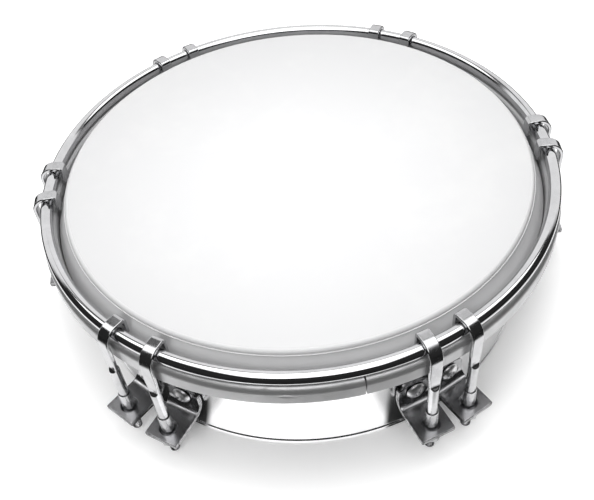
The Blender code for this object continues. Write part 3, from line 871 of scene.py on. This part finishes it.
# %% Section of the channel
GROOVE_FLOOR, GROOVE_INSIDE, GROOVE_OUTSIDE = 38.2 * MM, 79.26 * MM, 80.26 * MM
INNER_LIP_RADIUS, INNER_LIP_TOP = 78.46 * MM, 40.0 * MM
MOUTH_RADIUS, MOUTH_FROM = 80.96 * MM, 43.0 * MM
UPPER_CORNER, LOWER_CORNER = 2.2 * MM, 0.6 * MM
WALL_STEP = 0.22 * MM
NEARLY = 0.01 * MM
hoop_outline = rounded([
    (MOUTH_RADIUS, hoop_high.z, 0.25 * MM),
    (HOOP_RADIUS, hoop_high.z, UPPER_CORNER),
    (HOOP_RADIUS, hoop_low.z, LOWER_CORNER),
    (INNER_LIP_RADIUS, hoop_low.z, 0.3 * MM),
    (INNER_LIP_RADIUS, INNER_LIP_TOP, 0.25 * MM),
    (GROOVE_INSIDE, INNER_LIP_TOP, 0.25 * MM),
    (GROOVE_INSIDE, GROOVE_FLOOR, 0.15 * MM),
    (GROOVE_OUTSIDE, GROOVE_FLOOR, 0.15 * MM),
    (GROOVE_OUTSIDE, MOUTH_FROM, 0.25 * MM),
], steps=3)
outer_wall = np.flatnonzero(hoop_outline[:, 0] > HOOP_RADIUS - NEARLY)
wall_start, wall_end = outer_wall[0], outer_wall[-1] + 1
hoop_outline = np.concatenate([
    hoop_outline[:wall_start],
    filled(hoop_outline[wall_start:wall_end], WALL_STEP),
    hoop_outline[wall_end:],
])
print("channel:", len(hoop_outline), "rows")

# %% Seam, dents and stations round the hoop
SEAM_AZIMUTH = np.radians(8.5)
SEAM_GAP = 0.34 * MM
SEAM_ROUNDING = 0.12 * MM
DENTS = [
    # azimuth in degrees, height, depth, half width, half height
    (-10.0, 42.9 * MM, 0.16 * MM, 1.0 * MM, 0.5 * MM),
    (-6.0, 40.9 * MM, 0.13 * MM, 1.5 * MM, 0.45 * MM),
    (4.6, 42.8 * MM, 0.10 * MM, 0.8 * MM, 0.5 * MM),
    (5.9, 42.6 * MM, 0.10 * MM, 0.7 * MM, 0.4 * MM),
    (74.0, 40.2 * MM, 0.10 * MM, 1.2 * MM, 0.5 * MM),
    (171.0, 41.3 * MM, 0.12 * MM, 1.4 * MM, 0.5 * MM),
    (302.0, 40.6 * MM, 0.11 * MM, 1.3 * MM, 0.5 * MM),
]
half_gap = SEAM_GAP / 2 / HOOP_RADIUS
round_off = np.radians(np.linspace(0.0, 90.0, 4))
seam_start, seam_end = SEAM_AZIMUTH + half_gap, SEAM_AZIMUTH - half_gap + 2 * np.pi
end_steps = SEAM_ROUNDING / HOOP_RADIUS * (1 - np.cos(round_off))
long_run = np.linspace(seam_start + 2 * end_steps[-1], seam_end - 2 * end_steps[-1], 481)
for degrees, _, _, half_width, _ in DENTS:
    middle = seam_start + (np.radians(degrees) - seam_start) % (2 * np.pi)
    reach = 3.0 * half_width / HOOP_RADIUS
    long_run = np.concatenate([
        long_run[np.abs(long_run - middle) > reach],
        middle + np.linspace(-reach, reach, 21),
    ])
hoop_turn = np.concatenate([seam_start + end_steps, np.sort(long_run), (seam_end - end_steps)[::-1]])
draw_in = SEAM_ROUNDING * (1 - np.sin(round_off))
draw_in = np.concatenate([draw_in, np.zeros(len(long_run)), draw_in[::-1]])
print("hoop:", len(hoop_turn), "stations,", len(DENTS), "dents, seam", round(1000 * SEAM_GAP, 2), "mm wide")

# %% Flesh hoop
def hoop_dents(azimuth, outline):
    """Sum of bell curves on the outer wall: depth times exp(-(across/width)^2 - (up/height)^2)."""
    total = np.zeros((len(azimuth), len(outline)))
    outside = outline[:, 0] > HOOP_RADIUS - UPPER_CORNER - 2 * BESIDE
    for degrees, level, depth, half_width, half_height in DENTS:
        turn = (azimuth - np.radians(degrees) + np.pi) % (2 * np.pi) - np.pi
        across = turn[:, None] * HOOP_RADIUS / half_width
        total += depth * np.exp(-across ** 2 - ((outline[:, 1] - level) / half_height) ** 2)
    return total * outside


hoop_heading = np.gradient(hoop_outline[:, :2], axis=0)
hoop_heading[[0, -1]] = hoop_outline[1, :2] - hoop_outline[-2, :2]
hoop_normal = np.stack([hoop_heading[:, 1], -hoop_heading[:, 0]], axis=1)
hoop_normal /= np.linalg.norm(hoop_normal, axis=1)[:, None]
shift = draw_in[:, None] + hoop_dents(hoop_turn, hoop_outline)
hoop_out = hoop_outline[:, 0] + shift * hoop_normal[:, 0]
hoop_up = hoop_outline[:, 1] + shift * hoop_normal[:, 1]
hoop_points = around(hoop_out, 0.0, hoop_up, hoop_turn[:, None])
hoop_skin = patch(hoop_points, hoop_turn[:, None] * HOOP_RADIUS, length_along(hoop_outline),
                  hoop_outline[:, 2])
add_piece("crimped_flesh_hoop", [hoop_skin], hoop_metal, "flesh_hoop")

# %% [markdown]
# ## Counter hoop
# The counter hoop is a chromed rod, bent round and butt welded, and then ground. It is a torus: a
# circle carried round a circle. A curve with a bevel would do too, but a formula can also hold the
# weld, a low swelling where the ends were joined, turned here to the back.

# %% Counter hoop
WELD_AZIMUTH = np.radians(181.0)
WELD_RISE = 0.05 * MM
WELD_HALF_LENGTH = 0.9 * MM
WELD_WEAR = 0.6
round_rod = np.linspace(0.0, 2 * np.pi, 49)
from_weld = (FULL_TURN[:, None] - WELD_AZIMUTH) * ROD_RADIUS / WELD_HALF_LENGTH
weld = np.exp(-from_weld ** 2)
rod_swell = ROD_THICKNESS / 2 + WELD_RISE * weld
rod_points = around(ROD_RADIUS + rod_swell * np.cos(round_rod), 0.0,
                    ROD_HEIGHT + rod_swell * np.sin(round_rod), FULL_TURN[:, None])
rod_skin = patch(rod_points, FULL_TURN[:, None] * ROD_RADIUS, round_rod * ROD_THICKNESS / 2, WELD_WEAR * weld)
add_piece("chromed_counter_hoop", [rod_skin], rod_chrome, "counter_hoop")

# %% [markdown]
# ## Tension hooks
# A hook is one length of wire. Its upper half is flattened to a strap that claws over the rod, and its
# lower half stays round and is threaded. A curve with a bevel can't change its section on the way, so
# the section is worked out here as a rectangle with round corners at every station of the path. Where
# the corners grow to half the width the rectangle is a circle, and that makes the shoulder. The
# thread is a groove that winds down the circle and fades out at both ends.

# %% Sizes of a hook
STRAP = (2.0 * MM, 0.6 * MM, 0.35 * MM)
SHOULDER = (1.65 * MM, 0.6 * MM, 0.35 * MM)
STUD = (1.575 * MM, 1.575 * MM, 1.575 * MM)
LIP_OUT = -7.5 * MM
LIP_BEND = 0.9 * MM
LEG_BEND = 4.6 * MM
CLAW_LEVEL = hook_high.z - STRAP[1]
LIP_END = CLAW_LEVEL - 5.4 * MM
TAPER_TOP, SHOULDER_LEVEL = 38.1 * MM, 33.3 * MM
STUD_CHAMFER = 0.4 * MM
THREAD_TOP, THREAD_END = 19.8 * MM, hook_low.z + STUD_CHAMFER
PITCH = 0.635 * MM
THREAD_DEPTH = 0.34 * MM
TIP_ROUNDING = 0.25 * MM
SHOULDER_LENGTH = 0.9 * MM
LIP_STATIONS = np.array([3.0, 1.0, 0.05]) * MM
LEG_STATION = 42.0 * MM
STUD_STATIONS = np.array([32.0, 26.0, 21.0]) * MM
SHOULDER_WEAR = 0.7
print(f"strap {2000 * STRAP[0]:.1f} x {2000 * STRAP[1]:.1f} mm, stud {2000 * STUD[0]:.2f} mm")

# %% Stations and bends
stations = []


def add_stations(out, up, heading, section, inset=0.0, worn=0.0):
    """Stations with a place, a heading in degrees, and half width, half thickness and corner."""
    columns = np.broadcast_arrays(out, up, heading, *section, inset, worn)
    stations.append(np.stack([np.atleast_1d(column).astype(float) for column in columns], axis=-1))


def add_bend(middle_out, radius, first_angle):
    """A quarter bend: place = middle + radius (cos a, sin a), and the heading is a - 90 degrees."""
    angle = np.linspace(first_angle, first_angle - 90.0, 15)
    add_stations(middle_out + radius * np.cos(np.radians(angle)),
                 CLAW_LEVEL - radius + radius * np.sin(np.radians(angle)), angle - 90.0, STRAP)


print("helpers: add_stations, add_bend")

# %% Path of a hook
NO_SECTION = (0.0, 0.0, 0.0)
tip = np.radians(np.linspace(0.0, 90.0, 5))
tip_inset = TIP_ROUNDING * (1 - np.sin(tip))
add_stations(LIP_OUT, LIP_END, 90.0, NO_SECTION)
add_stations(LIP_OUT, LIP_END, 90.0, STRAP, TIP_ROUNDING + BESIDE)
add_stations(LIP_OUT, LIP_END + TIP_ROUNDING * (1 - np.cos(tip)), 90.0, STRAP, tip_inset, 1.0)
add_stations(LIP_OUT, CLAW_LEVEL - LIP_BEND - LIP_STATIONS, 90.0, STRAP)
add_bend(LIP_OUT + LIP_BEND, LIP_BEND, 180.0)
add_stations(np.array([LIP_OUT + LIP_BEND + BESIDE, -LEG_BEND - BESIDE]), CLAW_LEVEL, 0.0, STRAP)
add_bend(-LEG_BEND, LEG_BEND, 90.0)
leg_levels = np.array([CLAW_LEVEL - LEG_BEND - BESIDE, LEG_STATION, TAPER_TOP + BESIDE])
add_stations(0.0, leg_levels, -90.0, STRAP)
share = np.linspace(0.0, 1.0, 5)
narrowing = [wide + (narrow - wide) * share for wide, narrow in zip(STRAP, SHOULDER)]
add_stations(0.0, TAPER_TOP + (SHOULDER_LEVEL - TAPER_TOP) * share, -90.0, narrowing)
share = np.linspace(0.0, 1.0, 10)[1:]
grown = share ** 2 * (3 - 2 * share)
swelling = [flat + (full - flat) * grown for flat, full in zip(SHOULDER, STUD)]
add_stations(0.0, SHOULDER_LEVEL - SHOULDER_LENGTH * share, -90.0, swelling, 0.0, SHOULDER_WEAR)
threaded = np.arange(THREAD_TOP, THREAD_END + PITCH / 8, -PITCH / 8)
add_stations(0.0, np.concatenate([STUD_STATIONS, threaded, [THREAD_END]]), -90.0, STUD)
add_stations(0.0, hook_low.z, -90.0, STUD, STUD_CHAMFER)
add_stations(0.0, hook_low.z, -90.0, NO_SECTION)
stations = np.concatenate(stations)
print("hook:", len(stations), "stations")

# %% Section of a hook
corner_turn = np.linspace(0.0, 90.0, 8)
section_parts = []
for side, up, start in ((1, 1, 0.0), (-1, 1, 90.0), (-1, -1, 180.0), (1, -1, 270.0)):
    for extra, degrees in ((-1, 0.0), *((0, step) for step in corner_turn), (1, 90.0)):
        section_parts.append((side, up, start + degrees, extra))
section_parts = np.array(section_parts + section_parts[:1])
side, up, degrees, beside = section_parts.T
round_angle = np.radians(degrees)
print("section of a hook:", len(section_parts), "points")

# %% Hooks
STRAP_STATION = 20


def hook_skin(azimuth):
    """A hook: across = side (half width - corner) + corner cos b, off = the same with sin b.

    Off is measured square to the path, whose heading turns it into outwards and up. The thread is
    a groove over (height / pitch + b / full turn), so that it winds once in a pitch.
    """
    out, height, heading, half_width, half_thick, corner, inset, worn = (
        column[:, None] for column in stations.T)
    wound = (height / PITCH + round_angle / (2 * np.pi)) % 1.0
    fade = np.clip((THREAD_TOP - height) / PITCH, 0.0, 1.0) * np.clip((height - THREAD_END) / PITCH, 0.0, 1.0)
    groove = THREAD_DEPTH * fade * np.clip(1.2 * np.abs(2 * wound - 1) - 0.1, 0.0, 1.0)
    sunk = inset + groove
    corner = np.maximum(corner - sunk, 0.0)
    half_width = np.maximum(half_width - sunk, 0.0)
    half_thick = np.maximum(half_thick - sunk, 0.0)
    flat_x, flat_y = half_width - corner, half_thick - corner
    cosine, sine = np.cos(round_angle), np.sin(round_angle)
    across = side * flat_x + corner * cosine
    off = up * flat_y + corner * sine
    level_side = np.abs(cosine) < 0.5
    across = across - side * np.minimum(BESIDE, flat_x) * (beside != 0) * level_side
    off = off - up * np.minimum(BESIDE, flat_y) * (beside != 0) * ~level_side
    turned_out = out - off * np.sin(np.radians(heading))
    turned_up = height + off * np.cos(np.radians(heading))
    points = around(STUD_RADIUS + turned_out, across, turned_up, azimuth)
    round_strap = length_along(np.stack([across[STRAP_STATION], off[STRAP_STATION]], axis=1))
    rubbed = np.maximum(worn, (beside == 0) * (corner < FINER_FROM) * (corner > 0.0))
    return [patch(points, length_along(stations)[:, None], round_strap, rubbed)]


add_twelve("claw_hook", hook_skin, strap_chrome, "hook")

# %% [markdown]
# ## Tuning nuts
# A tuning nut is a hexagon under the bracket's leaf with a thin sleeve that reaches up through it. It
# is turned, and then its hexagon is milled. Here every row is a distance from the nut's axis that may
# change round the turn: constant on the sleeve and the bore, and on the hexagon the nearer of a flat
# and of the cone that a lathe cuts on both faces.

# %% Rows of a nut
HEX_FLAT = 3.3 * MM
HEX_HEIGHT = 3.2 * MM
HEX_LOW, HEX_HIGH = nut_low.z, nut_low.z + HEX_HEIGHT
HEX_WEAR, HEX_WORN_FROM = 0.8, 3.35 * MM
CONE, BORE_CONE = 0.3 * MM, 0.3 * MM
SLEEVE_TOP = nut_high.z
SLEEVE_OUT, BORE = 1.955 * MM, 1.675 * MM
FILLET, FILLET_MIDDLE = 0.2 * MM, 0.06 * MM
TOP_ROUND, TOP_ROUND_MIDDLE = 0.08 * MM, 0.02 * MM
around_nut = np.linspace(0.0, 2 * np.pi, 73)
hex_flat = HEX_FLAT / np.cos(around_nut % (np.pi / 3) - np.pi / 6)
cone_depth = np.linspace(0.0, CONE, 6)
nut_rows = np.array([
    # distance from the axis, height, limit: 0 the distance, 1 the nearer of it and the flat, 2 the flat
    (BORE, HEX_HIGH, 0),
    (BORE, HEX_LOW + BORE_CONE, 0),
    (BORE + BORE_CONE, HEX_LOW, 0),
    (BORE + BORE_CONE + BESIDE, HEX_LOW, 0),
    (HEX_FLAT - BESIDE, HEX_LOW, 0),
    *((HEX_FLAT + depth * np.sqrt(3), HEX_LOW + depth, 1) for depth in cone_depth),
    (0.0, HEX_LOW + CONE + 2 * BESIDE, 2),
    (0.0, HEX_HIGH - CONE - 2 * BESIDE, 2),
    *((HEX_FLAT + depth * np.sqrt(3), HEX_HIGH - depth, 1) for depth in cone_depth[::-1]),
    (HEX_FLAT - BESIDE, HEX_HIGH, 0),
    (SLEEVE_OUT + FILLET, HEX_HIGH, 0),
    (SLEEVE_OUT + FILLET_MIDDLE, HEX_HIGH + FILLET_MIDDLE, 0),
    (SLEEVE_OUT, HEX_HIGH + FILLET, 0),
    (SLEEVE_OUT, SLEEVE_TOP - TOP_ROUND - BESIDE, 0),
    (SLEEVE_OUT, SLEEVE_TOP - TOP_ROUND, 0),
    (SLEEVE_OUT - TOP_ROUND_MIDDLE, SLEEVE_TOP - TOP_ROUND_MIDDLE, 0),
    (SLEEVE_OUT - TOP_ROUND, SLEEVE_TOP, 0),
    (BORE + TOP_ROUND, SLEEVE_TOP, 0),
    (BORE, SLEEVE_TOP - TOP_ROUND, 0),
    (BORE, HEX_HIGH, 0),
])
print(f"nut: {len(nut_rows)} rows, {2000 * HEX_FLAT:.1f} mm across the flats")

# %% Nuts
def nut_skin(azimuth):
    """A nut: out = stud radius + reach cos b, across = reach sin b, where each row has its reach."""
    distance, height, limit = nut_rows.T
    flat = hex_flat[:, None]
    reach = np.choose(limit.astype(int), (distance, np.minimum(flat, distance), flat))
    turn = around_nut[:, None]
    points = around(STUD_RADIUS + reach * np.cos(turn), reach * np.sin(turn), height, azimuth)
    return [patch(points, turn * SLEEVE_OUT, length_along(nut_rows), (reach > HEX_WORN_FROM) * HEX_WEAR)]


add_twelve("sleeve_nut", nut_skin, nut_chrome, "nut")

# %% [markdown]
# ## Brackets
# A bracket is stamped from steel sheet and folded, with a punched hole in each leaf. It is worked out
# flat, as a stamping is: across its width and down its length, with the upper corners round. The
# fold then carries that plane into space, and a rounded rim joins the sheet's two faces.

# %% Sizes of a bracket
SHEET = 1.6 * MM
FACE_OUT = 77.5 * MM
FOLD_RADIUS = 2.9 * MM
LEAF_LEVEL = bracket_low.z + SHEET
UPRIGHT = bracket_high.z - LEAF_LEVEL - FOLD_RADIUS
FOLD = FOLD_RADIUS * np.pi / 2
HOLE_TO_EDGE = 4.5 * MM
LEAF = STUD_RADIUS + HOLE_TO_EDGE - FACE_OUT - FOLD_RADIUS
HALF_WIDTH = 5.6 * MM
TOP_CORNER, LEAF_CORNER = 3.4 * MM, 0.4 * MM
RIM = 0.25 * MM
NUT_HOLE_RADIUS = 2.68 * MM
PUNCHED_LIP = 0.15 * MM
RIVET_BLOCK_TOP, LAST_UPRIGHT_ROW = 0.8 * MM, 0.9 * MM
LEAF_ROWS = np.array([13.4, 15.0, 16.6, 18.3, 19.9]) * MM
print(f"bracket: upright {1000 * UPRIGHT:.1f}, fold {1000 * FOLD:.1f}, leaf {1000 * LEAF:.1f} mm")

# %% The fold
def folded(across, down, depth, azimuth):
    """The flat stamping after its fold.

    The fold turns by t = (down - upright) / fold radius, kept between 0 and a quarter turn. Out is
    the fold's centre - (radius + depth) cos t, and up is the centre - (radius + depth) sin t.
    """
    fold_turn = np.clip((down - UPRIGHT) / FOLD_RADIUS, 0.0, np.pi / 2)
    bent = FOLD_RADIUS + depth
    out = FACE_OUT + FOLD_RADIUS - bent * np.cos(fold_turn) + np.maximum(down - UPRIGHT - FOLD, 0.0)
    up = LEAF_LEVEL + FOLD_RADIUS - bent * np.sin(fold_turn) + np.maximum(UPRIGHT - down, 0.0)
    return around(out, across, up, azimuth)


print("the fold ends", round(1000 * (UPRIGHT + FOLD), 1), "mm down the stamping")

# %% The stamping in the flat
half = HALF_WIDTH - RIM
upper_turn = np.radians(np.linspace(0.0, 90.0, 11))
lower_turn = np.radians([0.0, 30.0, 60.0, 90.0])
upper, lower = TOP_CORNER - RIM, LEAF_CORNER - RIM
length = UPRIGHT + FOLD + LEAF
straight_rows = np.concatenate([
    [UPRIGHT - LAST_UPRIGHT_ROW, UPRIGHT - BESIDE],
    UPRIGHT + FOLD * np.linspace(0.0, 1.0, 13),
    [UPRIGHT + FOLD + BESIDE],
    LEAF_ROWS,
])
down_rows = np.concatenate([
    RIM + upper * (1 - np.cos(upper_turn)),
    straight_rows,
    length - RIM - lower * (1 - np.sin(lower_turn)),
])
half_at = np.concatenate([
    half - upper * (1 - np.sin(upper_turn)),
    np.full(len(straight_rows), half),
    half - lower * (1 - np.cos(lower_turn)),
])
spread = np.linspace(-1.0, 1.0, 17)
flat_across = spread[:, None] * half_at
flat_down = np.broadcast_to(down_rows, flat_across.shape)
print(f"stamping: {2000 * HALF_WIDTH:.1f} x {1000 * length:.1f} mm, {flat_across.size} points")

# %% Holes of a bracket
def row_near(distance):
    """The number of the row nearest to a distance down the stamping."""
    return int(np.argmin(np.abs(down_rows - distance)))


# a hole's block is its first and last column, and its first and last row
rivet_block = (4, 12, row_near(RIVET_BLOCK_TOP), row_near(UPRIGHT - BESIDE))
nut_block = (3, 13, row_near(LEAF_ROWS[0]), row_near(LEAF_ROWS[-1]))
bracket_holes = [
    (0.0, bracket_high.z - RIVET_LEVEL, RIVET_HOLE_RADIUS, rivet_block),
    (0.0, length - HOLE_TO_EDGE, NUT_HOLE_RADIUS, nut_block),
]
print("holes:", ", ".join(f"{2000 * radius:.2f} mm wide" for _, _, radius, _ in bracket_holes))

# %% Rim of a bracket
rim_numbers = block_edge(0, len(spread) - 1, 0, len(down_rows) - 1)
rim_across, rim_down = flat_across[rim_numbers], flat_down[rim_numbers]
forward = np.stack([np.roll(rim_across[:-1], -1) - np.roll(rim_across[:-1], 1),
                    np.roll(rim_down[:-1], -1) - np.roll(rim_down[:-1], 1)], axis=-1)
outward = np.stack([forward[:, 1], -forward[:, 0]], axis=-1)
outward /= np.linalg.norm(outward, axis=1)[:, None]
outward = np.concatenate([outward, outward[:1]])
rim_turn = np.radians(np.linspace(0.0, 90.0, 5))
rim_out = RIM * np.concatenate([np.sin(rim_turn), np.sin(rim_turn)[::-1]])
rim_depth = RIM * (1 - np.cos(rim_turn))
rim_depth = np.concatenate([rim_depth, SHEET - rim_depth[::-1]])
edge_across = rim_across[:, None] + outward[:, :1] * rim_out
edge_down = rim_down[:, None] + outward[:, 1:] * rim_out
edge_length = length_along(np.stack([rim_across, rim_down], axis=1))[:, None]
print(f"rim: {1000 * edge_length[-1, 0]:.1f} mm round")

# %% Brackets
def bracket_skin(azimuth):
    """A bracket: the flat stamping with its two holes and its rounded rim, folded at an azimuth."""
    surface = partial(folded, azimuth=azimuth)
    sheet = pierced(flat_across, flat_down, bracket_holes, SHEET, surface, PUNCHED_LIP)
    # The rim is all worn, so it takes the brackets' dark edge colour, which is mostly painted shade.
    return [*sheet, patch(surface(edge_across, edge_down, rim_depth), edge_length, rim_depth, 1.0)]


add_twelve("angle_bracket", bracket_skin, bracket_chrome, "bracket")

# %% [markdown]
# ## Rivets
# A blind rivet holds each bracket to the wall. Its dome keeps a small pit where the pulled mandrel
# broke off, and inside the drum it ends in a swollen foot. It is turned about a line that points
# outwards from the drum.

# %% Outline of a rivet
DOME_BASE, DOME_RISE = 0.3 * MM, 1.5 * MM
PIT_RADIUS, PIT_FLOOR = 0.95 * MM, 1.10 * MM
PIT_FLOOR_FROM, PIT_FLOOR_TO = 0.70 * MM, 0.90 * MM
MANDREL_RADIUS, MANDREL_END = 0.62 * MM, 1.45 * MM
SHANK_RADIUS, FOOT_RADIUS = 1.6 * MM, 2.6 * MM
FOOT_FROM, FOOT_TO = -3.502 * MM, -4.502 * MM
RUBBED_FROM = 1.3
dome = np.radians(np.linspace(np.degrees(np.arcsin(PIT_RADIUS / RIVET_HEAD_RADIUS)), 88.0, 12))
dome_rows = np.stack([
    RIVET_HEAD_RADIUS * np.sin(dome),
    DOME_BASE + DOME_RISE * np.cos(dome),
    SOFT_WEAR * (dome > RUBBED_FROM),
], axis=1)
rivet_rows = np.concatenate([
    rounded([
        (0.0, MANDREL_END, 0.0),
        (MANDREL_RADIUS, MANDREL_END, 0.1 * MM),
        (PIT_FLOOR_FROM, PIT_FLOOR, 0.06 * MM),
        (PIT_FLOOR_TO, PIT_FLOOR, 0.06 * MM),
        (*dome_rows[0, :2], 0.0),
    ], closed=False),
    dome_rows[1:],
    rounded([
        (RIVET_HEAD_RADIUS - 0.02 * MM, DOME_BASE, 0.0),
        (SHANK_RADIUS, DOME_BASE, 0.1 * MM),
        (SHANK_RADIUS, FOOT_FROM, 0.1 * MM),
        (FOOT_RADIUS, FOOT_FROM, 0.3 * MM),
        (FOOT_RADIUS, FOOT_TO, 0.45 * MM),
        (0.0, FOOT_TO, 0.0),
    ], closed=False),
])
print("rivet:", len(rivet_rows), "rows")

# %% Rivets
MEAN_RADIUS = 2.0 * MM


def rivet_skin(azimuth):
    """A rivet: out = its row's height off the wall, across = radius sin b, up = radius cos b."""
    radius, off_wall, worn = rivet_rows.T
    turn = np.linspace(0.0, 2 * np.pi, 49)[:, None]
    points = around(FACE_OUT + off_wall, radius * np.sin(turn), RIVET_LEVEL + radius * np.cos(turn), azimuth)
    return [patch(points, turn * MEAN_RADIUS, length_along(rivet_rows), worn)]


add_twelve("domed_rivet", rivet_skin, rivet_metal, "rivet")
